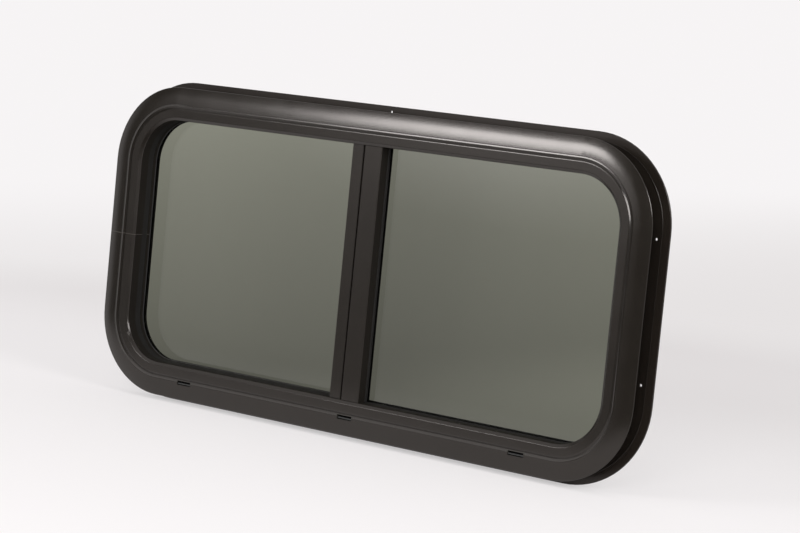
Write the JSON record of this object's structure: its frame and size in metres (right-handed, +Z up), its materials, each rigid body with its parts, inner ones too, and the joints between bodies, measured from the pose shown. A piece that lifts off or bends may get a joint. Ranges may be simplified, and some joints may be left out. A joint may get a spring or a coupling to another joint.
{
  "type": "sliding caravan window",
  "caption": "Black framed caravan window with rounded corners, tinted glass, a fixed pane, a sliding pane, a mullion between them and an inner clamp ring.",
  "frame": {"origin": "on the flat back of the outer flange, in the middle of the bottom run", "axes": "+X to the right seen from outside, +Y through the wall into the caravan, +Z up"},
  "size_m": [0.7548, 0.0487, 0.378],
  "materials": {
    "black_paint": "satin black powder coat",
    "bare_aluminium": "mill finish",
    "tinted_glass": "grey-green tint",
    "black_rubber": "matt",
    "grey_pile": "brush pile",
    "black_plastic": "moulded"
  },
  "bodies": {
    "root": {"outer_frame": "black_paint", "frame_joint_plate": "bare_aluminium", "clamp_ring": "black_paint", "ring_joint_plate": "bare_aluminium", "mullion": "black_paint", "fixed_glass": "tinted_glass", "glazing_gasket": "black_rubber", "channel_infill": "black_rubber", "sliding_glass": "tinted_glass", "run_channel": "black_rubber", "meeting_stile": "black_paint", "pile_seal": "grey_pile", "latch_body": "black_plastic", "latch_lever": "black_plastic", "weep_cover_left": "black_plastic", "weep_cover_middle": "black_plastic", "weep_cover_right": "black_plastic"}
  },
  "joints": []
}
